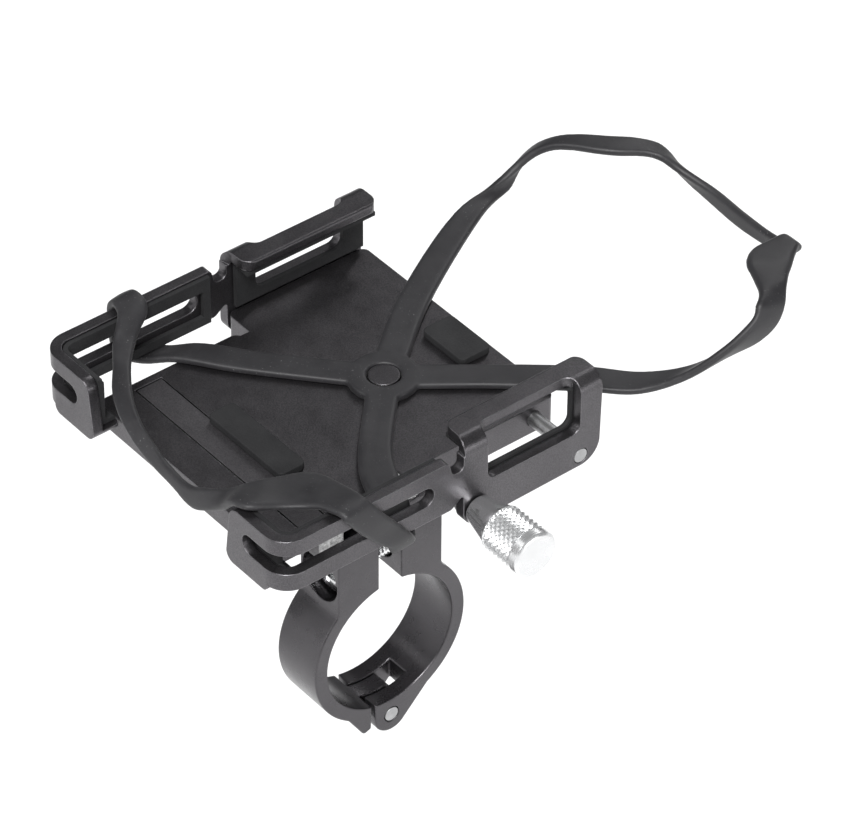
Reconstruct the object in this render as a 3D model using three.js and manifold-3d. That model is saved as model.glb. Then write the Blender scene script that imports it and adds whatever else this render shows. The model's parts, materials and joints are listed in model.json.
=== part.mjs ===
// Phone mount for a bicycle handlebar.
//
// A hinged clamp grips the bar. A base plate on top of the clamp carries a fixed claw on one
// side and a sliding claw on the other. A knurled thumb knob draws the sliding claw in, so
// the two claws pinch the long sides of a phone. An X-shaped silicone band loops over the
// four corners of the phone; it is drawn stretched, as if a phone were in place.
//
// Millimetres, +Z up. The origin is the centre of the clamp bore, on the axis of the
// handlebar, and +X runs along the handlebar.
// The cradle (everything above the clamp) is drawn in its own frame: x = 0 midway between
// the claws, y = 0 at the guide rod, z = 0 at the level of the phone's front glass.

import * as THREE from 'three';
import { mergeVertices } from 'three/addons/utils/BufferGeometryUtils.js';
import Module from 'manifold-3d';

const wasm = await Module();
wasm.setup();

// ---------------------------------------------------------------- driving dimensions

const ARC_STEPS = 8;                 // flat facets in each corner arc
const ROUND_STEPS = 32;              // facets round a pin, screw or hole

const cradle = { x: -25.4, y: 40, z: 38.7 };   // cradle frame measured from the clamp bore

const claw = {
  outer: 36.3,                       // outer face of the side wall, from the centre line
  wall: 2.2,                         // thickness of the bent plate
  top: 2.8,                          // top edge of the rail and of the corner leg
  railBottom: -8.5,
  corner: 5,                         // outer radius where the rail turns into the leg
  legY: -68.5,                       // outer face of the leg, at the phone's lower end
  footBottom: -10.1,
  footInner: -62.4,                  // free edge of the foot's ledge
  footX: [19.8, 32],
  railEnd: -31,
  jaw: [-27.5, 4.7],                 // the jaw plate along Y
  jawBottom: -14.3,
  lipTop: 5.25,
  lipEdge: 28.8,                     // how close the lip comes to the centre line
  bend: 3,                           // outer radius of the bend between plate and lip
  window: { y: [-22, -0.3], bottom: -5.9, lipX: 32.9, radius: 2 },
  slot: { z: [-4.8, -0.5], y: -34.3, x: 24.8 },
};
claw.inner = claw.outer - claw.wall;

const rod = { y: 0, z: -11.7, radius: 1.5, end: -22 };
const screw = { y: -24.5, z: -11, radius: 1.7, end: -6 };
const knob = {
  start: 36.6, neck: 2.8,            // the cone's narrow end
  shoulder: 43.1, coneEnd: 4.35,     // and its wide end
  grip: 4.75, gripEnd: 51.3, end: 53.1,
};
const ring = { x: [33.05, 33.75], radius: 2.7 };

const base = {
  top: -8.8,                         // the low plate over the clamp
  bottom: -13.4,
  low: { x: [-28, 29.6], y: [-61.8, -29.5] },
  notch: { x: 24.4, y: -46 },        // the low plate's corner is cut away round the guide bar's end
  blockBottom: -15,                  // the thicker block that holds the rod and the screw
  block: { x: [-33.8, 22.8], y: [-27.7, 5] },
  peg: { y: -17, radius: 3, top: -7.3 },
};
const bar = { x: [-26, 28.6], y: [-54.4, -48.8], z: [-12.6, -8.8] };
const pad = { thickness: 0.9, gap: 0.2 };

const clamp = {
  bore: 14.5,                        // radius: a 28.6 mm bar and a 0.2 mm liner
  outer: 17.3,
  halfWidth: 5.6,
  lug: [2.6, 11.9],                  // each lug, measured out from the middle of the gap
  lugTop: 25,
  shoulder: 13,                      // where a lug's outer face meets the ring
  boltZ: 18.7,
  boltHole: 2.7,
  pocket: { radius: 5, floor: 5.4 },
  split: 4.4,                        // the halves part this far from the centre line
};
const hinge = { y: 0.3, z: -18.2, pin: 1.5, knuckle: 3.8, tongue: 1.85 };
const bolt = { radius: 2.1, tip: 7.5, headFace: 9.6, headBack: 6.6, headRadius: 4.25, socket: 2.3 };
const washer = { y: [-6.4, -5.7], radius: 4.7 };
const clampScrew = { x: [22.2, 27], y: -33.2, radius: 1.2, head: 2.1, end: -17.2 };
const clawScrew = { y: [-20, -6], z: -11.6, radius: 1.4, head: 2.3, headHeight: 1.5, end: -27 };

const FIT = 0.15;                    // radial gap round a pressed pin or a screw

// ---------------------------------------------------------------- materials

const finish = (color, roughness, metalness) =>
  new THREE.MeshStandardMaterial({ color, roughness, metalness });
const anodised = finish(0x4b4a4d, 0.48, 0.75);
const rawCut = finish(0xa6a6a8, 0.55, 0.8);
const steel = finish(0xc9cacc, 0.22, 1);
const rubber = finish(0x1d1d1e, 0.8, 0);
const silicone = finish(0x2b2b2c, 0.6, 0);

// ---------------------------------------------------------------- helpers

// Turns a closed three.js geometry into a solid that can be joined and cut.
function toSolid(geometry) {
  const plain = new THREE.BufferGeometry();
  plain.setAttribute('position', geometry.getAttribute('position'));
  if (geometry.index) plain.setIndex(geometry.index);
  const merged = mergeVertices(plain, 1e-5);
  return new wasm.Manifold(new wasm.Mesh({
    numProp: 3,
    vertProperties: new Float32Array(merged.getAttribute('position').array),
    triVerts: new Uint32Array(merged.index.array),
  }));
}

function toGeometry(solid) {
  const mesh = solid.getMesh();
  const geometry = new THREE.BufferGeometry();
  geometry.setAttribute('position', new THREE.BufferAttribute(new Float32Array(mesh.vertProperties), 3));
  geometry.setIndex(new THREE.BufferAttribute(new Uint32Array(mesh.triVerts), 1));
  geometry.computeVertexNormals();
  return geometry;
}

const join = (first, ...others) =>
  toGeometry(others.reduce((sum, g) => sum.add(toSolid(g)), toSolid(first)));
const cut = (body, ...tools) =>
  toGeometry(tools.reduce((sum, g) => sum.subtract(toSolid(g)), toSolid(body)));
const common = (a, b) => toGeometry(toSolid(a).intersect(toSolid(b)));

// Mirrors a geometry across the plane x = 0 and keeps its faces pointing out.
function mirrored(geometry) {
  const copy = toGeometry(toSolid(geometry)).scale(-1, 1, 1);
  const index = copy.index.array;
  for (let i = 0; i < index.length; i += 3) {
    [index[i + 1], index[i + 2]] = [index[i + 2], index[i + 1]];
  }
  copy.computeVertexNormals();
  return copy;
}

// A closed outline through corner points [a, b, radius]; the radius is optional.
function outline(points) {
  const shape = new THREE.Shape();
  const count = points.length;
  points.forEach(([a, b, radius = 0], i) => {
    const here = new THREE.Vector2(a, b);
    const before = new THREE.Vector2(...points[(i + count - 1) % count]).sub(here).normalize();
    const after = new THREE.Vector2(...points[(i + 1) % count]).sub(here).normalize();
    const half = Math.acos(THREE.MathUtils.clamp(before.dot(after), -1, 1)) / 2;
    const reach = radius / Math.tan(half);
    const start = here.clone().addScaledVector(before, reach);
    if (i === 0) shape.moveTo(start.x, start.y);
    else shape.lineTo(start.x, start.y);
    if (radius > 0) {
      const middle = before.clone().add(after).normalize();
      const centre = here.clone().addScaledVector(middle, radius / Math.sin(half));
      const end = here.clone().addScaledVector(after, reach);
      const from = Math.atan2(start.y - centre.y, start.x - centre.x);
      const to = Math.atan2(end.y - centre.y, end.x - centre.x);
      shape.absarc(centre.x, centre.y, radius, from, to, before.cross(after) > 0);
    }
  });
  shape.closePath();
  return shape;
}

const rectangle = ([a0, a1], [b0, b1], radius = 0) =>
  outline([[a0, b0, radius], [a1, b0, radius], [a1, b1, radius], [a0, b1, radius]]);

// Extrudes an outline along one axis, between two places on it. The outline is drawn as
// (y, z) for X, as (x, z) for Y and as (x, y) for Z.
function extrude(axis, shape, [from, to], curveSegments = ARC_STEPS) {
  const depth = to - from;
  const geometry = new THREE.ExtrudeGeometry(shape, { depth, bevelEnabled: false, curveSegments });
  const turn = new THREE.Matrix4();
  const [x, y, z] = [new THREE.Vector3(1, 0, 0), new THREE.Vector3(0, 1, 0), new THREE.Vector3(0, 0, 1)];
  if (axis === 'x') turn.makeBasis(y, z, x).setPosition(from, 0, 0);
  if (axis === 'y') turn.makeBasis(x, z, y.clone().negate()).setPosition(0, to, 0);
  if (axis === 'z') turn.setPosition(0, 0, from);
  return geometry.applyMatrix4(turn);
}

const box = (x, y, z) => extrude('z', rectangle(x, y), z);

// A round bar along an axis; its centre is given by the two other coordinates in X, Y, Z
// order. The second radius, at the far end, makes it a cone.
function round(axis, radius, [from, to], [a, b], farRadius = radius, steps = ROUND_STEPS) {
  const geometry = new THREE.CylinderGeometry(farRadius, radius, to - from, steps);
  if (axis === 'x') geometry.rotateZ(-Math.PI / 2).translate((from + to) / 2, a, b);
  if (axis === 'y') geometry.translate(a, (from + to) / 2, b);
  if (axis === 'z') geometry.rotateX(Math.PI / 2).translate(a, b, (from + to) / 2);
  return geometry;
}

// A turned part: [place along X, radius] pairs, revolved about the X axis and moved to (y, z).
function turned(profile, y, z) {
  const points = profile.map(([along, radius]) => new THREE.Vector2(radius, along));
  return new THREE.LatheGeometry(points, ROUND_STEPS).rotateZ(-Math.PI / 2).translate(0, y, z);
}

// ---------------------------------------------------------------- claws

// The side wall seen from outside: the low rail, the notch, and the taller jaw plate.
function clawWall() {
  const [jawStart, jawEnd] = claw.jaw;
  const notch = -0.5;
  const shape = outline([
    [claw.legY + claw.corner, claw.railBottom], [claw.railEnd + 0.7, claw.railBottom, 1.5],
    [jawStart, -6.3, 0.5], [jawStart, claw.jawBottom, 3], [jawEnd - 0.4, claw.jawBottom + 0.4, 4.5],
    [jawEnd, claw.lipTop - claw.bend], [jawStart, claw.lipTop - claw.bend],
    [jawStart, notch, 1.2], [claw.railEnd + 0.8, notch, 1.2],
    [claw.railEnd, claw.top, 1], [claw.legY + claw.corner, claw.top],
  ]);
  return extrude('x', shape, [claw.inner, claw.outer]);
}

// The bend and the lip over the phone, with the lip's corners rounded in plan.
function clawLip() {
  const [jawStart, jawEnd] = claw.jaw;
  const underLip = claw.lipTop - claw.wall;
  const foot = claw.lipTop - claw.bend - 1;
  const bent = extrude('y', outline([
    [claw.inner, foot], [claw.outer, foot], [claw.outer, claw.lipTop, claw.bend],
    [claw.lipEdge, claw.lipTop, 0.5], [claw.lipEdge, underLip, 0.5],
    [claw.inner, underLip, claw.bend - claw.wall],
  ]), [jawStart, jawEnd]);
  const plan = extrude('z', outline([
    [claw.lipEdge, jawStart + 1, 2.5], [claw.inner - 0.6, jawStart + 0.8, 2],
    [claw.outer + 1, jawStart], [claw.outer + 1, jawEnd], [claw.lipEdge, jawEnd, 2.5],
  ]), [foot - 1, claw.lipTop + 1]);
  return common(bent, plan);
}

// The rounded corner, the leg across the phone's end and the foot's ledge.
function clawCorner() {
  const { outer, inner, legY, corner, wall, top, railBottom, footBottom, footX } = claw;
  const bend = outline([
    [outer - corner, legY], [outer, legY, corner], [outer, legY + corner],
    [inner, legY + corner], [inner, legY + wall, corner - wall], [outer - corner, legY + wall],
  ]);
  const leg = outline([
    [footX[0], footBottom, 2], [footX[1], footBottom, 1.5], [footX[1], railBottom],
    [outer - corner, railBottom], [outer - corner, top], [footX[0] + 1.6, top, 2.5],
  ]);
  const ledge = outline([
    [footX[0], legY], [footX[1], legY], [footX[1], claw.footInner, 1.5], [footX[0], claw.footInner, 1.5],
  ]);
  const foot = common(
    extrude('y', leg, [legY, claw.footInner + 1]),
    extrude('z', ledge, [footBottom - 1, footBottom + 1.7]));
  return join(
    extrude('z', bend, [railBottom, top]),
    extrude('y', leg, [legY, legY + wall]),
    foot,
  );
}

// The window through the plate and round the bend; grow makes it larger all round.
function windowTools(grow = 0) {
  const { y, bottom, lipX, radius } = claw.window;
  const across = [y[0] - grow, y[1] + grow];
  const upright = [bottom - grow, claw.lipTop - claw.wall + 0.2];
  return [
    extrude('x', rectangle(across, upright, radius), [claw.inner - 3, claw.outer + 1]),
    box([claw.inner - 0.4, claw.outer + 1], across, [0, claw.lipTop - 1]),
    extrude('z', rectangle([lipX - grow, claw.outer + 3], across, radius), [1.2, claw.lipTop + 1]),
  ];
}

// One slot that runs along the rail, round the corner and ends on the leg; reach is how far
// it cuts inside the plate.
function slotTools(reach = 1) {
  const { slot, outer, legY, corner } = claw;
  const end = (slot.z[1] - slot.z[0]) / 2 - 0.01;
  return [
    extrude('x', outline([
      [legY + corner - 1, slot.z[0]], [slot.y, slot.z[0], end],
      [slot.y, slot.z[1], end], [legY + corner - 1, slot.z[1]],
    ]), [claw.inner - reach, outer + 1]),
    box([outer - corner, outer + 1], [legY - 1, legY + corner], slot.z),
    extrude('y', outline([
      [slot.x, slot.z[0], end], [outer - corner + 1, slot.z[0]],
      [outer - corner + 1, slot.z[1]], [slot.x, slot.z[1], end],
    ]), [legY - 1, legY + claw.wall + 1]),
  ];
}

const clawBlank = cut(join(clawWall(), clawLip(), clawCorner()), ...windowTools(), ...slotTools());

function nearClaw() {
  const through = [claw.inner - 1, claw.outer + 1];
  return cut(clawBlank,
    round('x', rod.radius + FIT, through, [rod.y, rod.z]),
    round('x', screw.radius + 0.35, through, [screw.y, screw.z]));
}

function farClaw() {
  const through = [-claw.outer - 1, -claw.inner + 1];
  const holes = clawScrew.y.map((y) => round('x', clawScrew.radius + FIT, through, [y, clawScrew.z]));
  return cut(mirrored(clawBlank), ...holes);
}

// Rubber liner on the inside of the jaw plate and under its lip.
function jawPad() {
  const face = claw.inner - pad.gap;
  const ceiling = claw.lipTop - claw.wall - pad.gap;
  const section = outline([
    [face - pad.thickness, -7.6], [face, -7.6], [face, ceiling, 0.6], [claw.lipEdge + 0.5, ceiling],
    [claw.lipEdge + 0.5, ceiling - pad.thickness], [face - pad.thickness, ceiling - pad.thickness],
  ]);
  return cut(extrude('y', section, [claw.jaw[0] + 1.4, claw.jaw[1] - 0.6]), ...windowTools(-0.5));
}

// Rubber liner on the inside of the rail and the leg and on the leg's ledge.
function cornerPad() {
  const wall = claw.legY + claw.wall + pad.gap;
  const face = claw.inner - pad.gap;
  const floor = claw.footBottom + 1.7 + pad.gap;
  const [start, end] = [claw.footX[0] + 1.5, claw.railEnd - 1];
  const bend = claw.corner - claw.wall - pad.gap;
  const ledge = extrude('x', outline([
    [wall, floor], [claw.footInner - 0.3, floor], [claw.footInner - 0.3, floor + pad.thickness, 0.4],
    [wall + 1.3, floor + pad.thickness, 0.5], [wall + 1.3, claw.top - 0.8, 0.6], [wall, claw.top - 0.8],
  ]), [start, claw.footX[1] - 0.2]);
  const rail = extrude('z', outline([
    [start, wall], [face, wall, bend], [face, end], [face - pad.thickness, end],
    [face - pad.thickness, wall + pad.thickness, bend - pad.thickness], [start, wall + pad.thickness],
  ]), [claw.railBottom + 0.3, claw.top - 0.3]);
  const { slot } = claw;
  const clearance = box([claw.inner - 2, claw.inner], [wall + pad.thickness, slot.y + 0.6],
    [slot.z[0] - 1.4, slot.z[1] + 0.2]);
  return join(cut(rail, ...slotTools(2), clearance), ledge);
}

// ---------------------------------------------------------------- base

function basePlate() {
  const { low, notch, block, peg } = base;
  const body = join(
    extrude('z', rectangle(low.x, low.y, 2), [base.bottom, base.top]),
    extrude('z', rectangle(block.x, block.y, 1.5), [base.blockBottom, base.top]),
    box([low.x[0] + 1, block.x[1]], [low.y[1] - 3, block.y[0] + 3], [base.bottom, base.top]),
    round('z', peg.radius, [base.top - 1, peg.top], [0, peg.y]),
  );
  const corner = box([notch.x, low.x[1] + 1], [low.y[0] - 1, notch.y], [base.bottom - 1, base.top + 1]);
  const groove = box([bar.x[0] - 0.3, bar.x[1]], [bar.y[0] - 0.3, bar.y[1] + 0.3], [bar.z[0] - 0.3, 0]);
  const rodBore = round('x', rod.radius + 0.1, [block.x[0] - 1, block.x[1] + 1], [rod.y, rod.z]);
  const screwBore = round('x', screw.radius + FIT, [screw.end - 12, block.x[1] + 1], [screw.y, screw.z]);
  const clawHoles = clawScrew.y.map((y) =>
    round('x', clawScrew.radius + FIT, [block.x[0] - 1, clawScrew.end + 0.5], [y, clawScrew.z]));
  const clampHoles = clampScrew.x.flatMap((x) => [
    round('z', clampScrew.radius + FIT, [base.bottom - 1, base.top + 1], [x, clampScrew.y]),
    round('z', clampScrew.head + FIT, [base.top - 1.9, base.top + 0.5], [x, clampScrew.y]),
  ]);
  return cut(body, corner, groove, rodBore, screwBore, ...clawHoles, ...clampHoles);
}

// Countersunk screw from the base down into the clamp's fixed lug.
function clampScrewBody(x) {
  const body = join(
    round('z', clampScrew.radius, [clampScrew.end, base.top - 1], [x, clampScrew.y]),
    round('z', clampScrew.head, [base.top - 1.6, base.top - 0.1], [x, clampScrew.y]));
  return cut(body, round('z', 1.15, [base.top - 1, base.top + 1], [x, clampScrew.y], 1.15, 6));
}

// Button-head screw through the far jaw plate into the base.
function clawScrewBody(y) {
  const face = -claw.outer - 0.1;
  const dome = [
    [face - clawScrew.headHeight, 0], [face - clawScrew.headHeight, 1.5],
    [face - 0.6, clawScrew.head], [face, clawScrew.head], [face, 0],
  ];
  const body = join(
    turned(dome, y, clawScrew.z),
    round('x', clawScrew.radius, [face - 0.5, clawScrew.end], [y, clawScrew.z]));
  const socket = round('x', 1.15, [face - 3, face - 0.6], [y, clawScrew.z], 1.15, 6);
  return cut(body, socket);
}

// ---------------------------------------------------------------- sliding parts

function thumbKnob() {
  const { start, neck, shoulder, coneEnd, grip, gripEnd, end } = knob;
  const body = turned([
    [start, 0], [start, neck], [shoulder, coneEnd], [shoulder + 0.4, grip], [gripEnd, grip],
    [end - 0.5, grip - 0.35], [end, grip - 0.9], [end, 0],
  ], screw.y, screw.z);
  return cut(body, round('x', screw.radius + FIT, [start - 1, start + 8.4], [screw.y, screw.z]));
}

function retainingRing() {
  return cut(round('x', ring.radius, ring.x, [screw.y, screw.z]),
    round('x', screw.radius + FIT, [ring.x[0] - 1, ring.x[1] + 1], [screw.y, screw.z]));
}

// ---------------------------------------------------------------- handlebar clamp

const polar = (radius, degrees, y = 0, z = 0) => [
  y + radius * Math.cos(THREE.MathUtils.degToRad(degrees)),
  z + radius * Math.sin(THREE.MathUtils.degToRad(degrees)),
];

// Points on a circle from one angle to another, for an outline in (y, z).
function arcPoints(radius, from, to, steps, y = 0, z = 0) {
  return Array.from({ length: steps + 1 }, (_, i) =>
    polar(radius, from + ((to - from) * i) / steps, y, z));
}

const degreesAt = (along, radius) => THREE.MathUtils.radToDeg(Math.acos(along / radius));
const clampSpan = [-clamp.halfWidth, clamp.halfWidth];
const hingeHole = () => round('x', hinge.pin + FIT, [-7, 7], [hinge.y, hinge.z]);

// The half that is screwed to the base: lug, half ring and the two outer hinge knuckles.
function clampFixedHalf() {
  const [near, far] = clamp.lug;
  const shape = outline([
    [near, clamp.lugTop, 0.8],
    ...arcPoints(clamp.bore, degreesAt(near, clamp.bore), -degreesAt(-3.6, clamp.bore), 40),
    [hinge.y - hinge.knuckle, hinge.z + 1],
    ...arcPoints(hinge.knuckle, 190, 314, 10, hinge.y, hinge.z),
    ...arcPoints(clamp.outer, -59, degreesAt(far, clamp.outer) - 2, 26),
    [far, clamp.shoulder], [far, clamp.lugTop, 0.8],
  ]);
  const tongueSlot = box([-hinge.tongue - 0.4, hinge.tongue + 0.4], [-6, 6], [-24, -12]);
  const boltHole = round('y', clamp.boltHole, [near - 1, far + 1], [0, clamp.boltZ]);
  const screwHoles = clampScrew.x.map((x) =>
    round('z', clampScrew.radius + FIT, [clampScrew.end + cradle.z - 0.4, clamp.lugTop + 1],
      [x + cradle.x, clampScrew.y + cradle.y]));
  return cut(extrude('x', shape, clampSpan), tongueSlot, boltHole, hingeHole(), ...screwHoles);
}

// The half that swings open: lug with the bolt's pocket, half ring, and the middle tongue.
function clampSwingHalf() {
  const [near, far] = clamp.lug;
  const bottom = -degreesAt(-clamp.split, clamp.bore);
  const shape = outline([
    [-far, clamp.lugTop, 1.2], [-far, clamp.shoulder],
    ...arcPoints(clamp.outer, 180 - degreesAt(far, clamp.outer) + 2, 236, 26),
    [-6.2, -19.7, 0.8], [-4.5, -19.1, 0.4],
    ...arcPoints(clamp.bore, 360 + bottom, 180 - degreesAt(near, clamp.bore), 40),
    [-near, clamp.lugTop, 0.8],
  ]);
  const tongue = outline([
    ...arcPoints(clamp.bore, 250, 278.5, 6),
    ...arcPoints(hinge.knuckle - 0.1, 60, -180, 20, hinge.y, hinge.z),
    [-5.4, -18.3], [-7.3, -15.4],
  ]);
  const body = join(extrude('x', shape, clampSpan), extrude('x', tongue, [-hinge.tongue, hinge.tongue]));
  const pocket = round('y', clamp.pocket.radius, [-far - 1, -clamp.pocket.floor], [0, clamp.boltZ]);
  const boltHole = round('y', clamp.boltHole, [-far, -near + 1], [0, clamp.boltZ]);
  return cut(body, pocket, boltHole, hingeHole());
}

function clampBolt() {
  const body = join(
    round('y', bolt.radius, [-bolt.headBack - 0.5, bolt.tip], [0, clamp.boltZ]),
    round('y', bolt.headRadius, [-bolt.headFace, -bolt.headBack], [0, clamp.boltZ]));
  const deep = [-bolt.headFace - 1, -bolt.headFace + 2.2];
  return cut(body, round('y', bolt.socket, deep, [0, clamp.boltZ], bolt.socket, 6));
}

function boltWasher() {
  return cut(round('y', washer.radius, washer.y, [0, clamp.boltZ]),
    round('y', bolt.radius + 0.2, [-9, -4], [0, clamp.boltZ]));
}

// ---------------------------------------------------------------- silicone band

// The flat middle of the band: four arms that meet round the base's peg. Each arm is given
// by the two corners of its free end.
function bandCentre() {
  const z = [-8.7, -7.2];
  const { y, radius } = base.peg;
  const arm = (side, [x0, y0], [x1, y1], root) => extrude('z', outline([
    [side * x0, y0], [side * x1, y1], [-side * root, y + 3.2], [side * -root, y - 3.2],
  ]), z);
  const arms = [-1, 1].flatMap((side) => [
    arm(side, [18.1, -37.3], [18.1, -29.7], 1),
    arm(side, [15.75, -1.85], [11.15, 2.55], 2),
  ]);
  const whole = join(round('z', 6.5, z, [0, y]), ...arms);
  return cut(whole, round('z', radius + 0.3, [z[0] - 1, z[1] + 1], [0, y]));
}

// One strap as a closed loft. Each station is the strap's two edges on its outer face; the
// thickness goes towards the phone.
function strap(stations, thickness) {
  const edges = [0, 1].map((side) => new THREE.CatmullRomCurve3(
    stations.map((pair) => new THREE.Vector3(...pair[side])), false, 'centripetal'));
  const count = (stations.length - 1) * 3;
  const rings = [];
  for (let i = 0; i <= count; i++) {
    const [a, b] = edges.map((edge) => edge.getPoint(i / count));
    const run = edges[0].getTangent(i / count).add(edges[1].getTangent(i / count));
    const inward = run.cross(b.clone().sub(a)).setLength(thickness);
    rings.push([a, b, b.clone().add(inward), a.clone().add(inward)]);
  }
  const index = [0, 2, 1, 0, 3, 2];
  for (let i = 0; i < count; i++) {
    for (let k = 0; k < 4; k++) {
      const [p, q] = [4 * i + k, 4 * i + ((k + 1) % 4)];
      index.push(p, q, q + 4, p, q + 4, p + 4);
    }
  }
  const last = 4 * count;
  index.push(last, last + 1, last + 2, last, last + 2, last + 3);
  const points = rings.flat().flatMap((p) => p.toArray());
  const geometry = new THREE.BufferGeometry();
  geometry.setAttribute('position', new THREE.Float32BufferAttribute(points, 3));
  geometry.setIndex(index);
  geometry.computeVertexNormals();
  return geometry;
}

const STRAP = 1.6;

// From under the far rail, over it, across the phone's lower end and down over the near rail.
const lowerLoop = [
  [[-18.5, -29.5, -8.7], [-18.5, -37.5, -8.7]], [[-28, -37, -8.8], [-28, -44.5, -8.8]],
  [[-33, -41.5, -10.3], [-33, -48.5, -10.3]], [[-36.8, -43.5, -10.4], [-36.8, -50.5, -10.4]],
  [[-38.6, -44.5, -8.6], [-38.6, -51.3, -8.6]], [[-38.6, -45.8, -2], [-38.6, -52, -2]],
  [[-38.4, -46.2, 3], [-38.2, -52.2, 3]], [[-36.6, -46.4, 4.8], [-36.2, -52.2, 4.8]],
  [[-33, -46.6, 4.8], [-33.2, -53, 4.7]], [[-30.3, -48.2, 3.9], [-30.5, -55.5, 3.5]],
  [[-27.8, -52.4, 2.4], [-28.3, -57.8, 2.2]], [[-23.9, -56.6, 1.9], [-24, -61, 1.8]],
  [[-18.8, -60.5, 1.7], [-19, -64.8, 1.3]], [[-14, -63.5, 1.6], [-12.9, -67.6, 0.4]],
  [[-8.6, -66.3, 1.2], [-7.1, -68.8, -1.5]], [[-3.3, -67.6, 0], [-2.1, -68.9, -3.2]],
  [[1.7, -68.2, -1.4], [3.9, -68.7, -4.4]], [[8, -68.2, -1.6], [10.4, -69, -5]],
  [[12, -67.6, 0.2], [13.8, -68.8, -3.4]], [[16, -64.9, 1.8], [18, -68.4, 0.2]],
  [[18.2, -61.4, 3], [21.4, -68.4, 4.2]], [[19, -58.7, 3], [25, -67.4, 5]],
  [[19.4, -55.9, 2.3], [27.9, -61.9, 4]], [[21, -52.2, 2.4], [30.2, -59, 4]],
  [[24.2, -50, 2.8], [32.6, -57.2, 4.7]], [[28.8, -49.6, 3.7], [35, -56.5, 5]],
  [[33.5, -49.6, 4.8], [37, -56, 5]], [[36.9, -49.4, 4.8], [38.4, -55.8, 4.2]],
  [[38.6, -47.6, 1.8], [38.7, -53.4, 0.2]], [[38.7, -43.9, -3], [38.7, -49.6, -4.4]],
  [[38.6, -40.6, -7.4], [38.6, -46.4, -7.6]], [[37.6, -39.2, -10], [37.6, -45, -10.2]],
  [[35.6, -38, -10.5], [35.6, -44, -10.5]], [[33, -36.6, -10.3], [33, -43, -10.3]],
  [[29.8, -35, -8.8], [29.8, -42, -8.8]], [[18.5, -29.5, -8.7], [18.5, -37.5, -8.7]],
];

// From under the near side, over the phone's upper corners and down the far side.
const upperLoop = [
  [[16, -1.6, -8.7], [11.4, 2.8, -8.7]], [[26, 9, -8.3], [21, 13.4, -8.3]],
  [[33, 16.5, -8.3], [29, 21, -8.5]], [[36.4, 25, -7], [33.4, 29.5, -8.7]],
  [[37.2, 33, -4.6], [35.2, 38.4, -8]], [[37.2, 38.5, -2.2], [36.6, 43.4, -6.8]],
  [[37, 41.8, 0], [37.2, 47.2, -4.2]], [[35.8, 43, 1.9], [37.1, 49, -0.4]],
  [[33.2, 45.4, 2.3], [34.6, 51.2, 2]], [[29.1, 47.3, 2.8], [32.6, 53.4, 2.3]],
  [[25.9, 48.6, 3.2], [31, 55.6, 2.3]], [[22.6, 52.8, 2.4], [29.2, 57.8, 2.2]],
  [[22.3, 57, 2.2], [28, 59.4, 2.2]], [[22.2, 60.9, 2], [27.2, 60.8, 2]],
  [[21.6, 62.9, 0], [26.4, 62.6, 0]], [[19, 63.6, -2.2], [22, 63.8, -4.4]],
  [[10, 63.8, -2.6], [10, 63.8, -6.2]], [[0, 63.4, -1.4], [-1, 63.8, -5]],
  [[-6.5, 60.4, 1], [-9.4, 63.2, -2]], [[-10.5, 59.2, 1.8], [-11.9, 63.2, -0.5]],
  [[-12.7, 57.2, 2.2], [-14.7, 62.4, 0.8]], [[-15.6, 52.9, 2.4], [-17.2, 59.2, 2.2]],
  [[-18.5, 50.1, 2.4], [-20.6, 55.2, 2.5]], [[-23.6, 46.6, 2.1], [-24.6, 51.2, 2.4]],
  [[-26.4, 44.4, 1.4], [-28, 48, 1.5]], [[-28.8, 41.8, -0.3], [-31, 45, -1]],
  [[-30.4, 38.6, -3], [-32, 41, -4.6]], [[-31.4, 33.6, -6], [-30.6, 37.4, -8.2]],
  [[-30, 24, -8.2], [-26.6, 28.4, -8.5]], [[-16, -1.6, -8.7], [-11.4, 2.8, -8.7]],
];

// ---------------------------------------------------------------- assembly

function part(name, geometry, material) {
  const mesh = new THREE.Mesh(geometry, material);
  mesh.name = name;
  return mesh;
}

const cradleGroup = new THREE.Group();
cradleGroup.position.set(cradle.x, cradle.y, cradle.z);
cradleGroup.add(
  part('base_plate', basePlate(), anodised),
  part('guide_bar', box(bar.x, bar.y, bar.z), rawCut),
  part('base_pad_1', extrude('z', rectangle([-11, 11], [-49.5, -43.5], 1.2), [-8.7, -7.1]), rubber),
  part('base_pad_2', extrude('z', rectangle([-6, 6], [-3.4, 3.8], 1.2), [-8.7, -7.1]), rubber),
  part('far_claw', farClaw(), anodised),
  part('far_jaw_pad', mirrored(jawPad()), rubber),
  part('far_corner_pad', mirrored(cornerPad()), rubber),
  part('near_claw', nearClaw(), anodised),
  part('near_jaw_pad', jawPad(), rubber),
  part('near_corner_pad', cornerPad(), rubber),
  part('guide_rod', round('x', rod.radius, [rod.end, claw.outer], [rod.y, rod.z]), steel),
  part('adjusting_screw', round('x', screw.radius, [screw.end, knob.start + 8], [screw.y, screw.z]), steel),
  part('retaining_ring', retainingRing(), steel),
  part('thumb_knob', thumbKnob(), steel),
  part('band_centre', bandCentre(), silicone),
  part('band_lower_loop', strap(lowerLoop, STRAP), silicone),
  part('band_upper_loop', strap(upperLoop, STRAP), silicone),
);
clampScrew.x.forEach((x, i) => cradleGroup.add(part(`clamp_screw_${i + 1}`, clampScrewBody(x), steel)));
clawScrew.y.forEach((y, i) => cradleGroup.add(part(`far_claw_screw_${i + 1}`, clawScrewBody(y), steel)));

const clampGroup = new THREE.Group();
clampGroup.add(
  part('clamp_fixed_half', clampFixedHalf(), anodised),
  part('clamp_swing_half', clampSwingHalf(), anodised),
  part('hinge_pin', round('x', hinge.pin, clampSpan, [hinge.y, hinge.z]), steel),
  part('bolt_washer', boltWasher(), steel),
  part('clamp_bolt', clampBolt(), steel),
);

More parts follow.
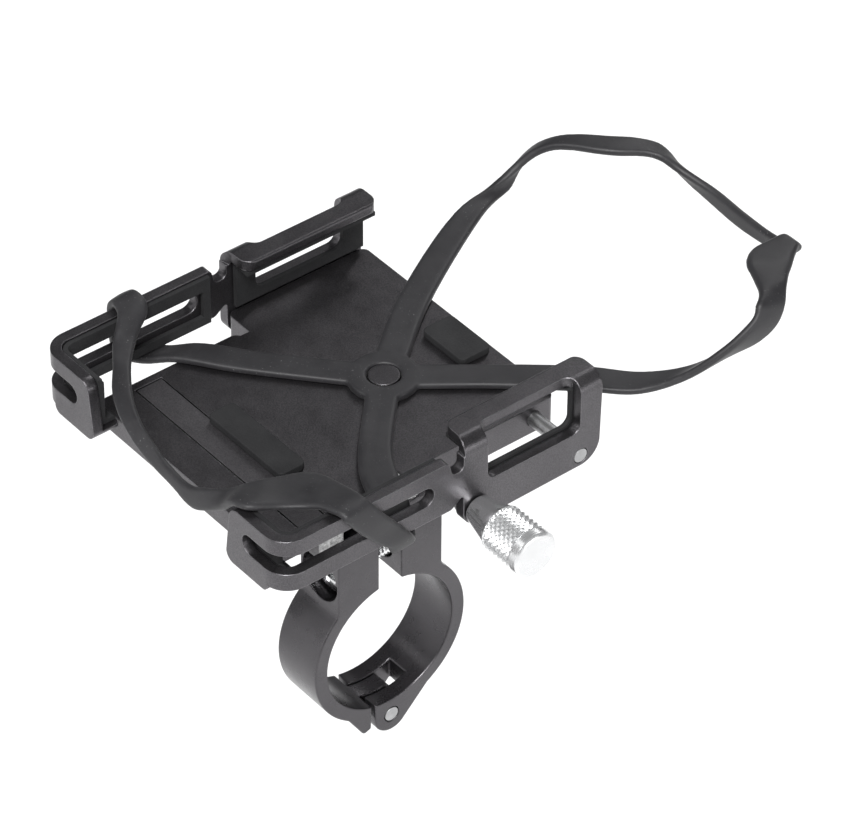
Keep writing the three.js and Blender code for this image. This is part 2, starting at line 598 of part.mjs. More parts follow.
const phoneMount = new THREE.Group();
phoneMount.add(cradleGroup, clampGroup);

export default phoneMount;
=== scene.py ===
import json
import math

import bmesh
import bpy
from mathutils import Matrix, Vector, noise

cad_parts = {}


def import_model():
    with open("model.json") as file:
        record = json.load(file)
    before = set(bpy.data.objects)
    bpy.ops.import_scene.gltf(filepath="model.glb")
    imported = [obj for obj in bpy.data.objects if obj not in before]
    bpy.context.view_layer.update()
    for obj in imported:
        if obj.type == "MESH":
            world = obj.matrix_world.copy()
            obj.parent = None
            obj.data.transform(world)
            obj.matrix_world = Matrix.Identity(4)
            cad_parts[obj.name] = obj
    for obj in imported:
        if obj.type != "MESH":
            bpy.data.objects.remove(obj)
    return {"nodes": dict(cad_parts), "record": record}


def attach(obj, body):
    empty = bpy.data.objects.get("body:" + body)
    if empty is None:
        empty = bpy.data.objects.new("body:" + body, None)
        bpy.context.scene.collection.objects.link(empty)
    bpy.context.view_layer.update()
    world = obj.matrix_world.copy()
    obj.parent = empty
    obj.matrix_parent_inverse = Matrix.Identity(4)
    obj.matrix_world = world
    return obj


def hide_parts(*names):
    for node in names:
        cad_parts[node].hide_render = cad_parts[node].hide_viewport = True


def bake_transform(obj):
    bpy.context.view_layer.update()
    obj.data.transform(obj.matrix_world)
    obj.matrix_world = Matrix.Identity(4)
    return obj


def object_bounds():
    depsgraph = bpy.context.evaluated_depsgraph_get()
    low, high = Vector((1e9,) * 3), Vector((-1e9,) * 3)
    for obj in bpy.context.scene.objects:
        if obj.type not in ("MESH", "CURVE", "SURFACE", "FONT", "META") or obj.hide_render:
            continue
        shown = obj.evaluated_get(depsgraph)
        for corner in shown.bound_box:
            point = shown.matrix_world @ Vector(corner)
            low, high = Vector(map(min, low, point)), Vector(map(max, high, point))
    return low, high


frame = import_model()
cad_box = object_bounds()
nodes = frame["nodes"]

MM = 0.001
CRADLE = Vector((-25.4, 40.0, 38.7))      # the cradle's own frame, measured from the clamp's bore


# ---------------------------------------------------------------- materials

COLOUR_A, COLOUR_B, COLOUR_RESULT = 6, 7, 2     # a mix node's sockets for colours


class Material:
    """A node material under construction: small helpers round one Principled shader."""

    def __init__(self, name, **inputs):
        self.material = bpy.data.materials.new(name)
        self.material.use_nodes = True
        self.tree = self.material.node_tree
        self.shader = self.tree.nodes["Principled BSDF"]
        for key, value in inputs.items():
            self.shader.inputs[key.replace("_", " ").capitalize()].default_value = value
        self.position = self.add("ShaderNodeTexCoord").outputs["Object"]

    def add(self, kind, **settings):
        node = self.tree.nodes.new(kind)
        for key, value in settings.items():
            setattr(node, key, value)
        return node

    def link(self, source, node, socket):
        self.tree.links.new(source, node.inputs[socket])

    def noise(self, scale, detail=3.0, roughness=0.6, stretch=None):
        node = self.add("ShaderNodeTexNoise")
        node.inputs["Scale"].default_value = scale
        node.inputs["Detail"].default_value = detail
        node.inputs["Roughness"].default_value = roughness
        source = self.position
        if stretch:
            mapping = self.add("ShaderNodeMapping")
            mapping.inputs["Scale"].default_value = stretch
            self.link(source, mapping, "Vector")
            source = mapping.outputs["Vector"]
        self.link(source, node, "Vector")
        return node.outputs["Fac"]

    def ramp(self, source, stops):
        """Colours by value: stops are (position, (r, g, b)) or (position, grey)."""
        node = self.add("ShaderNodeValToRGB")
        elements = node.color_ramp.elements
        while len(elements) < len(stops):
            elements.new(0.5)
        for element, (place, colour) in zip(elements, stops):
            element.position = place
            rgb = colour if isinstance(colour, tuple) else (colour,) * 3
            element.color = (*rgb, 1.0)
        self.link(source, node, "Fac")
        return node.outputs["Color"]

    def mix(self, kind, factor, a, b):
        """Mix of two colours; the factor may be a number or an output, and so may each colour."""
        node = self.add("ShaderNodeMix", data_type="RGBA", blend_type=kind)
        if isinstance(factor, float):
            node.inputs["Factor"].default_value = factor
        else:
            self.link(factor, node, "Factor")
        for socket, source in ((COLOUR_A, a), (COLOUR_B, b)):
            if isinstance(source, tuple):
                node.inputs[socket].default_value = (*source, 1.0)
            else:
                self.link(source, node, socket)
        return node.outputs[COLOUR_RESULT]

    def bump(self, height, strength, distance, under=None):
        node = self.add("ShaderNodeBump")
        node.inputs["Strength"].default_value = strength
        node.inputs["Distance"].default_value = distance
        self.link(height, node, "Height")
        if under is not None:
            self.link(under, node, "Normal")
        return node.outputs["Normal"]

    def finish(self, colour=None, roughness=None, normal=None):
        for source, socket in ((colour, "Base Color"), (roughness, "Roughness"), (normal, "Normal")):
            if source is not None:
                self.link(source, self.shader, socket)
        return self.material


HIGHLIGHT_RADIUS = 0.00022         # how far the painted edge highlight reaches from a sharp edge
EDGE_RADIUS = 0.0004         # how far the shading of an edge is rounded


def rounded_edges(m, radius):
    """Normals that turn smoothly over sharp edges."""
    rounded = m.add("ShaderNodeBevel", samples=6)
    rounded.inputs["Radius"].default_value = radius
    return rounded.outputs["Normal"]


def edge_highlight_mask(m, radius):
    """Mask of the painted edge highlight: white along sharp edges, where rounded and true normals part,
    and black elsewhere.
    """
    dot = m.add("ShaderNodeVectorMath", operation="DOT_PRODUCT")
    m.link(rounded_edges(m, radius), dot, 0)
    m.link(m.add("ShaderNodeNewGeometry").outputs["Normal"], dot, 1)
    return m.ramp(dot.outputs["Value"], [(0.84, 1.0), (0.955, 0.0)])


def shades(tone, *colours):
    """The colours, each multiplied by the tone."""
    return [tuple(tone * channel for channel in colour) for colour in colours]


def anodised_nodes(m, low=0.31, high=0.41, blast=0.45, tone=1.0):
    """Colour, roughness and normal of bead-blasted aluminium, anodised nearly black, with a painted
    highlight of lighter grey in patches along its sharp edges.
    Roughness goes from low to high, and blast says how strong the grain is."""
    grain = m.noise(4200.0, 2.0, 0.75)
    cloud = m.noise(55.0, 4.0, 0.6)
    dark, light = shades(tone, (0.113, 0.108, 0.115), (0.145, 0.139, 0.147))
    colour = m.ramp(cloud, [(0.3, dark), (0.7, light)])
    colour = m.mix("MULTIPLY", 1.3 * blast, colour, m.ramp(grain, [(0.35, 0.35), (0.65, 1.0)]))
    # painted highlight: a lighter grey mixed in along every sharp edge, broken into patches, in place of
    # the light glinting on the edges
    patchy = m.ramp(m.noise(300.0, 3.0), [(0.3, 0.25), (0.7, 0.8)])
    painted_highlight = m.mix("MULTIPLY", 1.0, edge_highlight_mask(m, HIGHLIGHT_RADIUS), patchy)
    colour = m.mix("MIX", painted_highlight, colour, (0.42, 0.41, 0.43))
    rough = m.ramp(m.noise(240.0, 3.0), [(0.3, low), (0.7, high)])
    return colour, rough, m.bump(grain, blast, 0.00006, rounded_edges(m, EDGE_RADIUS))


def anodised(name="anodised", *surface):
    """The dark anodised finish; surface holds low, high, blast and tone of anodised_nodes."""
    m = Material(name, metallic=0.93)
    m.shader.inputs["Specular IOR Level"].default_value = 0.6
    return m.finish(*anodised_nodes(m, *surface))


def cut_metal():
    """An anodised bar whose two ends are bare saw cuts, with fine scratches across them."""
    m = Material("cut_metal", metallic=0.8)
    dark, _, _ = anodised_nodes(m)
    lines = m.noise(900.0, 4.0, 0.7, (0.15, 0.6, 4.0))
    pits = m.noise(1600.0, 3.0, 0.7)
    bare = m.ramp(pits, [(0.35, (0.20, 0.20, 0.20)), (0.65, (0.58, 0.58, 0.58))])
    split = m.add("ShaderNodeSeparateXYZ")
    m.link(m.add("ShaderNodeTexCoord").outputs["Normal"], split, "Vector")
    facing = m.add("ShaderNodeMath", operation="ABSOLUTE")
    m.link(split.outputs["X"], facing, 0)
    colour = m.mix("MIX", m.ramp(facing.outputs["Value"], [(0.85, 0.0), (0.95, 1.0)]), dark, bare)
    return m.finish(colour, m.ramp(lines, [(0.3, 0.5), (0.7, 0.36)]), m.bump(lines, 0.4, 0.00005))


def steel(name="steel", metallic=1.0, low=0.13, high=0.22, tone=1.0):
    """Turned stainless steel, with faint rings round the X axis."""
    m = Material(name, metallic=metallic)
    rings = m.noise(420.0, 4.0, 0.65, (9.0, 0.4, 0.4))
    dark, light = shades(tone, (0.74, 0.745, 0.75), (0.86, 0.865, 0.87))
    colour = m.ramp(rings, [(0.25, dark), (0.75, light)])
    rough = m.ramp(rings, [(0.3, low), (0.7, high)])
    return m.finish(colour, rough, m.bump(rings, 0.12, 0.00003))


def brushed():
    """Bare pins and washers: dull grey metal with fine turning marks."""
    m = Material("brushed", metallic=0.9)
    rings = m.noise(700.0, 4.0, 0.7, (2.0, 0.5, 0.5))
    colour = m.ramp(rings, [(0.25, (0.30, 0.30, 0.305)), (0.75, (0.48, 0.48, 0.485))])
    return m.finish(colour, m.ramp(rings, [(0.3, 0.36), (0.7, 0.5)]), m.bump(rings, 0.3, 0.00004))


def rubber():
    """Dull black moulded rubber."""
    m = Material("rubber")
    m.shader.inputs["Specular IOR Level"].default_value = 0.35
    grain = m.noise(3000.0, 3.0, 0.7)
    colour = m.ramp(m.noise(150.0, 4.0), [(0.3, (0.012, 0.012, 0.013)), (0.7, (0.022, 0.022, 0.023))])
    return m.finish(colour, m.ramp(grain, [(0.3, 0.72), (0.7, 0.9)]), m.bump(grain, 0.35, 0.00008))


def silicone():
    """Moulded silicone: a dull sheen, a faint mottle, and light specks of dust in patches."""
    m = Material("silicone")
    m.shader.inputs["Specular IOR Level"].default_value = 0.42
    m.shader.inputs["Sheen Weight"].default_value = 0.04
    m.shader.inputs["Sheen Roughness"].default_value = 0.45
    mottle = m.noise(140.0, 5.0, 0.65)
    colour = m.ramp(mottle, [(0.3, (0.0150, 0.0144, 0.0162)), (0.7, (0.0248, 0.0240, 0.0262))])
    dust = m.noise(2600.0, 2.0, 0.6)
    patches = m.ramp(m.noise(90.0, 3.0, 0.7), [(0.45, 0.0), (0.65, 0.55)])
    specks = m.mix("MULTIPLY", 1.0, m.ramp(dust, [(0.66, 0.0), (0.74, 1.0)]), patches)
    colour = m.mix("MIX", specks, colour, (0.26, 0.26, 0.26))
    rough = m.ramp(mottle, [(0.3, 0.46), (0.7, 0.58)])
    skin = m.bump(m.noise(700.0, 3.0, 0.6), 0.12, 0.0002)
    return m.finish(colour, rough, m.bump(dust, 0.1, 0.00005, skin))


# anodised_smooth, chrome, nickel and brushed are finishes of the anodised and steel slots.
MATERIALS = {
    "anodised": anodised(),
    "anodised_smooth": anodised("anodised_smooth", 0.25, 0.32, 0.12, 0.73),
    "cut_metal": cut_metal(),
    "steel": steel(),
    "chrome": steel("chrome", 0.9, 0.1, 0.16),
    "nickel": steel("nickel", 0.8, 0.22, 0.3, 0.94),
    "brushed": brushed(),
    "rubber": rubber(),
    "silicone": silicone(),
}
record_slots = {s["node"]: s["material_slot"] for s in frame["record"]["subparts"]}


def paint(obj, slot):
    obj.data.materials.clear()
    obj.data.materials.append(MATERIALS[slot])


# ---------------------------------------------------------------- CAD nodes that stay

def soften(obj, width, crowded):
    """Rounds the sharp edges of a CAD node with modifiers; its own mesh isn't touched.
    A crowded mesh has slivers, over which a full-width bevel would throw out spikes."""
    for polygon in obj.data.polygons:
        polygon.use_smooth = True
    weld = obj.modifiers.new("weld", "WELD")    # the frame's meshes come as loose triangles
    weld.merge_threshold = 0.001 * MM
    flat = obj.modifiers.new("flat faces", "DECIMATE")
    flat.decimate_type = "DISSOLVE"
    flat.angle_limit = math.radians(0.4)
    bevel = obj.modifiers.new("edges", "BEVEL")
    bevel.width = width
    bevel.segments = 2
    bevel.limit_method = "ANGLE"
    bevel.angle_limit = math.radians(28)
    bevel.use_clamp_overlap = crowded
    bevel.harden_normals = True
    normals = obj.modifiers.new("normals", "WEIGHTED_NORMAL")
    normals.keep_sharp = True


# Bevel of each slot's edges, in millimetres.
BEVEL = {
    "anodised": 0.25, "cut_metal": 0.08, "steel": 0.12, "rubber": 0.2, "silicone": 0.2,
}
# Nodes with a finish of their own.
FINISHES = {
    "guide_rod": "brushed", "hinge_pin": "brushed",
    "bolt_washer": "brushed", "retaining_ring": "brushed",
    "clamp_fixed_half": "anodised_smooth", "clamp_swing_half": "anodised_smooth",
    "far_claw_screw_1": "nickel", "far_claw_screw_2": "nickel",
    "clamp_screw_1": "nickel", "clamp_screw_2": "nickel",
}
CROWDED = (
    "base_plate", "far_claw", "near_claw",
    "far_jaw_pad", "near_jaw_pad", "far_corner_pad", "near_corner_pad",
)
for name, obj in nodes.items():
    slot = record_slots[name]
    paint(obj, FINISHES.get(name, slot))
    soften(obj, BEVEL[slot] * MM, name in CROWDED)


# ---------------------------------------------------------------- new pieces

def piece(name, verts, faces, slot, body, *stands_for):
    """A mesh object from points in millimetres in the row frame, riding on a body."""
    mesh = bpy.data.meshes.new(name)
    mesh.from_pydata([Vector(v) * MM for v in verts], [], faces)
    mesh.validate()
    obj = bpy.data.objects.new(name, mesh)
    bpy.context.scene.collection.objects.link(obj)
    cleaned = bmesh.new()
    cleaned.from_mesh(mesh)
    bmesh.ops.recalc_face_normals(cleaned, faces=cleaned.faces)
    cleaned.to_mesh(mesh)
    cleaned.free()
    paint(obj, slot)
    if stands_for:
        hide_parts(*stands_for)
    if body:
        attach(obj, body)
    return obj


def revolve(stations, around, centre, axis="x", shift=0.0, crease=None):
    """A turned surface. A station is (place, radius) or (place, radius, relief), where
    relief(place, turn) is added to the radius; shift moves every place along the axis.
    crease(i, k) is 1 or -1 where a face has to fold along one or the other diagonal."""
    verts, faces = [], []
    for place, radius, *relief in stations:
        for k in range(around):
            r = radius + (relief[0](place, k / around) if relief else 0.0)
            a, b = r * math.cos(2 * math.pi * k / around), r * math.sin(2 * math.pi * k / around)
            if axis == "x":
                verts.append((place + shift, centre[0] + a, centre[1] + b))
            else:
                verts.append((centre[0] + a, place + shift, centre[1] + b))
    for i in range(len(stations) - 1):
        for k in range(around):
            p, q = i * around + k, i * around + (k + 1) % around
            fold = crease(i, k) if crease else 0
            if fold > 0:
                faces += [(p, q, q + around), (p, q + around, p + around)]
            elif fold < 0:
                faces += [(p, q, p + around), (q, q + around, p + around)]
            else:
                faces.append((p, q, q + around, p + around))
    faces.append(tuple(range(around)))
    last = (len(stations) - 1) * around
    faces.append(tuple(last + k for k in range(around)))
    return verts, faces


def smooth(obj, angle):
    """Smooth shading, with edges sharper than the angle, in degrees, kept crisp."""
    for polygon in obj.data.polygons:
        polygon.use_smooth = True
    work = bmesh.new()
    work.from_mesh(obj.data)
    for edge in work.edges:
        if len(edge.link_faces) == 2 and edge.calc_face_angle() > math.radians(angle):
            edge.smooth = False
    work.to_mesh(obj.data)
    work.free()


def triangle_wave(t):
    """1 at whole numbers and 0 halfway between them."""
    return abs((t % 1.0) - 0.5) * 2


STATIONS_PER_TURN = 10


def thread(span, radius, pitch, depth):
    """Stations of a threaded length, with a helical ridge for relief."""
    count = int(abs(span[1] - span[0]) / pitch * STATIONS_PER_TURN)

    def relief(place, turn):
        return -depth * triangle_wave(place / pitch - turn)

    return [(span[0] + (span[1] - span[0]) * i / count, radius, relief) for i in range(count + 1)]


SCREW = (-24.5 + CRADLE.y, -11 + CRADLE.z)      # the adjusting screw's axis, in Y and Z
BOLT = (0.0, 18.7)                              # the clamp bolt's axis, in X and Z


def knob():
    """The thumb knob: polished cone, diamond knurl and a plain chamfered end."""
    start, shoulder, end = 36.6, 43.1, 53.1             # places along X
    bore, waist, flare, grip = 0.6, 2.8, 4.3, 4.75      # radii
    chamfer, rings = 0.15, 6
    cone = shoulder - start - 2 * chamfer
    knurl0, knurl1, knurl_depth = shoulder + 0.45, 50.8, 0.5
    diamonds, leads, per_diamond = 22, 6, 6
    lead = (knurl1 - knurl0) / leads
    rows = leads * per_diamond
    run_out = 0.25                                      # over which the knurl fades at its ends

    def relief(place, turn):
        fade = min(1.0, (place - knurl0) / run_out, (knurl1 - place) / run_out)
        a = triangle_wave(turn * diamonds + (place - knurl0) / lead)
        b = triangle_wave(turn * diamonds - (place - knurl0) / lead)
        return -knurl_depth * ((1 - min(a, b)) * fade + 0.2 * (1 - fade))

    stations = [(start, bore), (start, waist - chamfer), (start + chamfer, waist)]
    stations += [
        (start + chamfer + cone * i / rings, waist + (flare - waist) * i / rings)
        for i in range(1, rings + 1)
    ]
    stations += [(shoulder, flare), (shoulder + 0.25, grip - 0.12)]
    first = len(stations)
    stations += [(knurl0 + (knurl1 - knurl0) * i / rows, grip, relief) for i in range(rows + 1)]
    rim, neck = grip - 0.02, grip - 0.3                 # the plain rim, past a narrow groove
    stations += [
        (knurl1 + 0.08, neck), (knurl1 + 0.3, neck), (knurl1 + 0.38, rim),
        (end - 0.45, rim), (end - 0.15, neck), (end, grip - 0.62), (end, bore),
    ]

    def groove(i, k):
        """The knurl's grooves run along the diagonals of its grid."""
        row = i - first
        if not 0 <= row < rows:
            return 0
        half = per_diamond // 2
        return ((k - row) % per_diamond == half) - ((k + row + 1) % per_diamond == half)

    verts, faces = revolve(stations, diamonds * per_diamond, SCREW, "x", CRADLE.x, groove)
    obj = piece("thumb_knob_turned", verts, faces, "steel", "thumb_knob", "thumb_knob")
    paint(obj, "chrome")
    obj.data.materials.append(MATERIALS["nickel"])
    for polygon in obj.data.polygons:
        polygon.material_index = int(polygon.center.x > (shoulder + CRADLE.x) * MM)
    smooth(obj, 25)


def adjusting_screw():
    """A plain M4 thread from the base to the knob."""
    tip, end, core, pitch = -6, 36.55, 1.3, 0.7
    stations = [(tip, core), *thread((tip, end), 1.85, pitch, 0.36), (end, core)]
    verts, faces = revolve(stations, 48, SCREW, "x", CRADLE.x)
    smooth(piece("adjusting_screw_turned", verts, faces, "steel", "thumb_knob", "adjusting_screw"), 50)


def clamp_bolt():
    """Cap screw: threaded shank, round head and a six-sided socket sunk in the head."""
    tip, back, face, deep = 7.5, -6.6, -9.6, 2.2    # places along Y, and the socket's depth
    core, head, socket = 2.15, 4.25, 2.3            # radii

    def hexagon(place, turn):
        """From the circle through a hexagon's corners to its sides."""
        return socket * (math.cos(math.pi / 6) / math.cos(((turn * 6) % 1 - 0.5) * math.pi / 3) - 1)

    stations = [(tip, core - 0.6), *thread((tip - 0.3, back + 0.1), core, 0.8, 0.42)]
    stations += [
        (back, core), (back, head - 0.15), (back - 0.15, head), (face + 0.35, head),
        (face + 0.1, head - 0.1), (face, head - 0.35), (face, socket + 0.45), (face + 0.3, socket + 0.12),
        (face + 0.32, socket, hexagon), (face + deep, socket, hexagon),
    ]
    verts, faces = revolve(stations, 60, BOLT, "y")
    smooth(piece("clamp_bolt_turned", verts, faces, "steel", "bolt", "clamp_bolt"), 40)


knob()
adjusting_screw()
clamp_bolt()


# ---------------------------------------------------------------- silicone band

# Stations of the band's two loops: the ends of one cross line each, in the cradle's frame, in
# millimetres, from the eyelet round two corners of the phone and back.
LOWER = [
    ((-5.1, -17.3, -8.7), (-0.85, -22.05, -8.7)),
    ((-18.5, -29.5, -8.7), (-18.5, -37.5, -8.7)), ((-28, -37, -8.8), (-28, -44.5, -8.8)),
    ((-33, -41.5, -10.3), (-33, -48.5, -10.3)), ((-36.8, -43.5, -10.4), (-36.8, -50.5, -10.4)),
    ((-38.6, -44.5, -8.6), (-38.6, -51.3, -8.6)), ((-38.6, -45.8, -2), (-38.6, -52, -2)),
    ((-38.4, -46.2, 3), (-38.2, -52.2, 3)), ((-36.6, -46.4, 4.8), (-36.2, -52.2, 4.8)),
    ((-33, -46.6, 4.8), (-33.2, -53, 4.7)), ((-30.3, -48.2, 3.9), (-30.5, -55.5, 3.5)),
    ((-27.8, -52.4, 2.4), (-28.3, -57.8, 2.2)), ((-23.9, -56.6, 1.9), (-24, -61, 1.8)),
    ((-18.8, -60.5, 1.7), (-19, -64.8, 1.3)), ((-14, -63.5, 1.6), (-12.9, -67.6, 0.4)),
    ((-8.6, -66.3, 1.2), (-7.1, -68.8, -1.5)), ((-3.3, -67.6, 0), (-2.1, -68.9, -3.2)),
    ((1.7, -68.2, -1.4), (3.9, -68.7, -4.4)), ((8, -68.2, -1.6), (10.4, -69, -5)),
    ((12, -67.6, 0.2), (13.8, -68.8, -3.4)), ((16, -64.9, 1.8), (18, -68.4, 0.2)),
    ((18.2, -61.4, 3), (21.4, -68.4, 4.2)), ((19, -58.7, 3), (25, -67.4, 5)),
    ((19.4, -55.9, 2.3), (27.9, -61.9, 4)), ((21, -52.2, 2.4), (30.2, -59, 4)),
    ((24.2, -50, 2.8), (32.6, -57.2, 4.7)), ((28.8, -49.6, 3.7), (35, -56.5, 5)),
    ((33.5, -49.6, 4.8), (37, -56, 5)), ((36.9, -49.4, 4.8), (38.4, -55.8, 4.2)),
    ((38.6, -47.6, 1.8), (38.7, -53.4, 0.2)), ((38.7, -43.9, -3), (38.7, -49.6, -4.4)),
    ((38.6, -40.6, -7.4), (38.6, -46.4, -7.6)), ((37.6, -39.2, -10), (37.6, -45, -10.2)),
    ((35.6, -38, -10.5), (35.6, -44, -10.5)), ((33, -36.6, -10.3), (33, -43, -10.3)),
    ((29.8, -35, -8.8), (29.8, -42, -8.8)), ((18.5, -29.5, -8.7), (18.5, -37.5, -8.7)),
    ((5.1, -17.3, -8.7), (0.85, -22.05, -8.7)),
]
UPPER = [
    ((4.98, -15.8, -8.7), (-0.06, -11.88, -8.7)),
    ((16, -1.6, -8.7), (11.4, 2.8, -8.7)), ((26, 9, -8.3), (21, 13.4, -8.3)),
    ((33, 16.5, -8.3), (29, 21, -8.5)), ((36.4, 25, -7), (33.4, 29.5, -8.7)),
    ((37.2, 33, -4.6), (35.2, 38.4, -8)), ((37.2, 38.5, -2.2), (36.6, 43.4, -6.8)),
    ((37, 41.8, 0), (37.2, 47.2, -4.2)), ((35.8, 43, 1.9), (37.1, 49, -0.4)),
    ((33.2, 45.4, 2.3), (34.6, 51.2, 2)), ((29.1, 47.3, 2.8), (32.6, 53.4, 2.3)),
    ((25.9, 48.6, 3.2), (31, 55.6, 2.3)), ((22.6, 52.8, 2.4), (29.2, 57.8, 2.2)),
    ((22.3, 57, 2.2), (28, 59.4, 2.2)), ((22.2, 60.9, 2), (27.2, 60.8, 2)),
    ((21.6, 62.9, 0), (26.4, 62.6, 0)), ((19, 63.6, -2.2), (22, 63.8, -4.4)),
    ((10, 63.8, -2.6), (10, 63.8, -6.2)), ((0, 63.4, -1.4), (-1, 63.8, -5)),
    ((-6.5, 60.4, 1), (-9.4, 63.2, -2)), ((-10.5, 59.2, 1.8), (-11.9, 63.2, -0.5)),
    ((-12.7, 57.2, 2.2), (-14.7, 62.4, 0.8)), ((-15.6, 52.9, 2.4), (-17.2, 59.2, 2.2)),
    ((-18.5, 50.1, 2.4), (-20.6, 55.2, 2.5)), ((-23.6, 46.6, 2.1), (-24.6, 51.2, 2.4)),
    ((-26.4, 44.4, 1.4), (-28, 48, 1.5)), ((-28.8, 41.8, -0.3), (-31, 45, -1)),
    ((-30.4, 38.6, -3), (-32, 41, -4.6)), ((-31.4, 33.6, -6), (-30.6, 37.4, -8.2)),
    ((-30, 24, -8.2), (-26.6, 28.4, -8.5)), ((-16, -1.6, -8.7), (-11.4, 2.8, -8.7)),
    ((-4.98, -15.8, -8.7), (0.06, -11.88, -8.7)),
]


def spline(points, steps):
    """Points along a centripetal Catmull-Rom curve through the given points."""
    ends = [points[0] * 2 - points[1], *points, points[-1] * 2 - points[-2]]
    out = []
    for p0, p1, p2, p3 in zip(ends, ends[1:], ends[2:], ends[3:]):
        t1 = max((p1 - p0).length, 1e-6) ** 0.5
        t2 = t1 + max((p2 - p1).length, 1e-6) ** 0.5
        t3 = t2 + max((p3 - p2).length, 1e-6) ** 0.5
        for i in range(steps):
            t = t1 + (t2 - t1) * i / steps
            a = p0.lerp(p1, t / t1)
            b = p1.lerp(p2, (t - t1) / (t2 - t1))
            c = p2.lerp(p3, (t - t2) / (t3 - t2))
            d = a.lerp(b, t / t2)
            e = b.lerp(c, (t - t1) / (t3 - t1))
            out.append(d.lerp(e, (t - t1) / (t2 - t1)))
    out.append(points[-1])
    return out


THICKNESS = 1.6
BULGE, CREASE = 0.12, 0.12          # how far the band's face crowns, and how far it wavers
STEPS, ACROSS = 6, 8                # mesh steps from one station to the next, and across


def ribbon(stations):
    """A strap between two edge curves with a rounded section; its thickness goes to the phone."""
    left = spline([Vector(s[0]) for s in stations], STEPS)
    right = spline([Vector(s[1]) for s in stations], STEPS)
    count = len(left)
    verts, faces = [], []
    round_over = [(0.0, 0.5), (0.02, 0.2), (0.08, 0.04)]
    for i in range(count):
        a, b = left[i], right[i]
        run = (left[min(i + 1, count - 1)] - left[max(i - 1, 0)]
               + right[min(i + 1, count - 1)] - right[max(i - 1, 0)])
        inward = run.cross(b - a).normalized() * THICKNESS
        sides = [*round_over]
        sides += [(k / ACROSS, 0.0) for k in range(1, ACROSS)]
        sides += [(1 - f, d) for f, d in reversed(round_over)]
        back = [(f, 1 - d) for f, d in reversed(sides) if 0 < f < 1]
        for f, d in sides + back:
            bulge = BULGE * math.sin(math.pi * f)
            crease = CREASE * noise.noise(Vector((i * 0.11, f * 2.0, THICKNESS)))
            verts.append(a.lerp(b, f) + inward * d - inward.normalized() * (bulge + crease))
    ring = len(verts) // count
    for i in range(count - 1):
        for k in range(ring):
            p, q = i * ring + k, i * ring + (k + 1) % ring
            faces.append((p, q, q + ring, p + ring))
    faces.append(tuple(range(ring)))
    faces.append(tuple((count - 1) * ring + k for k in range(ring)))
    return [v + CRADLE for v in verts], faces


def eyelet():
    """The ring in the middle of the band that sits round the base's peg."""
    section = [                     # radius and height
        (3.3, -8.5), (3.5, -8.7), (6.8, -8.7), (6.9, -8.5),
        (6.9, -7.3), (6.7, -7.1), (3.5, -7.1), (3.3, -7.3),
    ]
    around = 64
    centre = Vector((0, -17, 0)) + CRADLE
    verts = [centre + Vector((r * math.cos(a), r * math.sin(a), z))
             for r, z in section for a in (2 * math.pi * k / around for k in range(around))]
    faces = []
    for i in range(len(section)):
        j = (i + 1) % len(section)
        for k in range(around):
            n = (k + 1) % around
            faces.append((i * around + k, i * around + n, j * around + n, j * around + k))
    return verts, faces


def band():
    """The whole band as one moulding: both loops and the eyelet, fused and softened."""
    verts, faces = [], []
    for more_verts, more_faces in (ribbon(LOWER), ribbon(UPPER), eyelet()):
        faces += [tuple(i + len(verts) for i in f) for f in more_faces]
        verts += more_verts
    obj = piece(
        "band", verts, faces, "silicone", None, "band_lower_loop", "band_upper_loop", "band_centre")
    fuse = obj.modifiers.new("fuse", "REMESH")
    fuse.mode, fuse.voxel_size = "VOXEL", 0.32 * MM
    relax = obj.modifiers.new("relax", "SMOOTH")
    relax.factor, relax.iterations = 0.5, 3
    thin = obj.modifiers.new("thin", "DECIMATE")
    thin.ratio = 0.3
    fused = obj.evaluated_get(bpy.context.evaluated_depsgraph_get())
    obj.data = bpy.data.meshes.new_from_object(fused)
    obj.modifiers.clear()
    paint(obj, "silicone")
    for polygon in obj.data.polygons:
        polygon.use_smooth = True
    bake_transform(obj)


band()


# ---------------------------------------------------------------- stage, light and camera

def stage():
    """A pale floor, half a metre below the mount, so that its shadow falls out of view."""
    size = 12.0
    low = min(v[2] for v in cad_box) - 0.5
    mesh = bpy.data.meshes.new("floor")
    corners = [(-size, -size, low), (size, -size, low), (size, size, low), (-size, size, low)]
    mesh.from_pydata(corners, [], [(0, 1, 2, 3)])
    floor = bpy.data.objects.new("floor", mesh)
    bpy.context.scene.collection.objects.link(floor)
    m = Material("pale_floor", roughness=0.9)
    m.finish(m.ramp(m.noise(3.0, 2.0), [(0.0, 0.9), (1.0, 0.92)]))
    mesh.materials.append(m.material)


def area_light(name, place, target, size, power):
    """A rectangular light in metres and watts, turned to its target."""
    data = bpy.data.lights.new(name, "AREA")
    data.shape = "RECTANGLE"
    data.size, data.size_y = size
    data.energy = power
    obj = bpy.data.objects.new(name, data)
    bpy.context.scene.collection.objects.link(obj)
    obj.location = place
    obj.rotation_euler = (Vector(target) - Vector(place)).to_track_quat("-Z", "Y").to_euler()


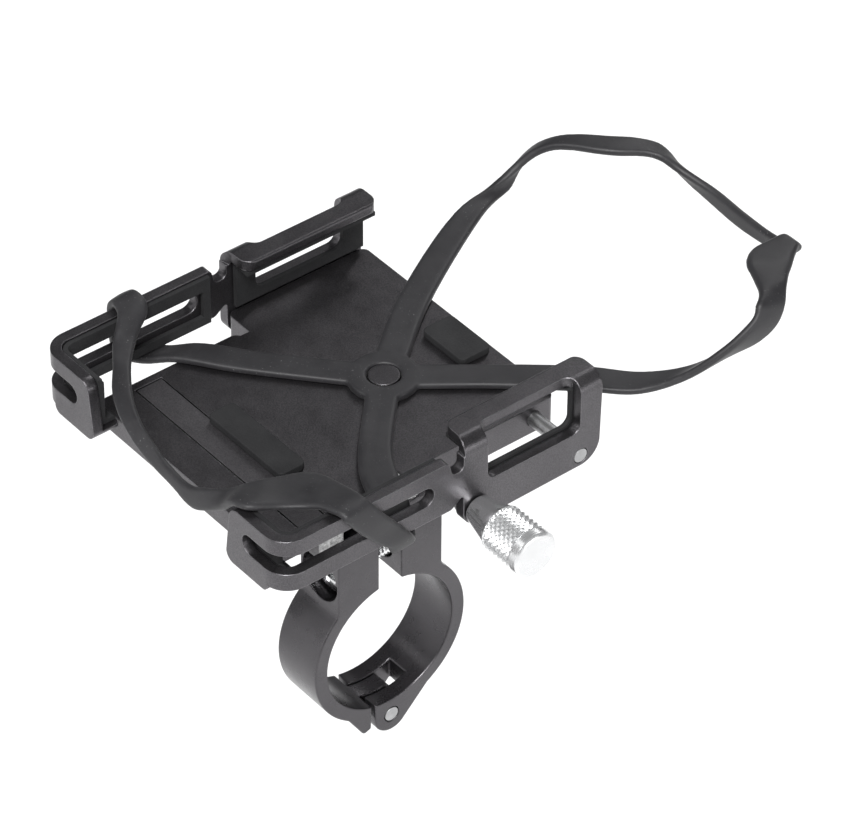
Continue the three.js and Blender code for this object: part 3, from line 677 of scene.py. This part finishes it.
def sun(name, towards, strength, softness):
    """A large soft light far away, in the direction given."""
    data = bpy.data.lights.new(name, "SUN")
    data.energy = strength
    data.angle = math.radians(softness)
    obj = bpy.data.objects.new(name, data)
    bpy.context.scene.collection.objects.link(obj)
    obj.rotation_euler = (-Vector(towards)).to_track_quat("-Z", "Y").to_euler()


def world():
    """A dim, faintly blue surrounding, which gives the metal its dark tops."""
    scene = bpy.context.scene
    scene.world = bpy.data.worlds.new("studio")
    scene.world.use_nodes = True
    background = scene.world.node_tree.nodes["Background"]
    background.inputs["Color"].default_value = (0.96, 0.98, 1.0, 1.0)
    background.inputs["Strength"].default_value = 0.13
    scene.view_settings.view_transform = "Standard"
    scene.view_settings.look = "None"


def camera():
    """Long lens, looking down on the thumb-knob side."""
    azimuth, elevation, roll = math.radians(51.082), math.radians(39.779), math.radians(0.341)
    distance = 925.11 * MM
    target = Vector((-20.145, 27.700, 24.507)) * MM
    level = math.cos(elevation)
    forward = Vector((-math.sin(azimuth) * level, math.cos(azimuth) * level, -math.sin(elevation)))
    right = Vector((math.cos(azimuth), math.sin(azimuth), 0.0))
    up = right.cross(forward)
    turned = Matrix.Rotation(-roll, 3, forward)
    right, up = turned @ right, turned @ up
    data = bpy.data.cameras.new("camera")
    data.lens, data.sensor_width, data.clip_start = 213.52, 36.0, 0.01
    obj = bpy.data.objects.new("camera", data)
    bpy.context.scene.collection.objects.link(obj)
    axes = Matrix((right, up, -forward)).transposed()
    obj.matrix_world = Matrix.Translation(target - forward * distance) @ axes.to_4x4()
    bpy.context.scene.camera = obj


stage()
world()
sun("key", (0.45, -0.5, 1.0), 3.8, 25)
area_light("left", (-0.30, -0.75, 0.22), (0, 0.0, 0.02), (0.25, 0.5), 1.2)
area_light("front", (0.62, -0.48, 0.50), (0, 0.0, 0.0), (0.22, 0.5), 1.6)
area_light("right", (0.75, 0.18, 0.12), (0.01, 0.02, 0.02), (0.5, 0.2), 1.6)
area_light("back", (-0.45, 0.75, 0.75), (0, 0.02, 0.03), (0.12, 0.8), 2.2)
area_light("high", (-0.54, -0.44, 0.60), (0.02, 0.01, 0.02), (0.3, 0.3), 0.45)
camera()
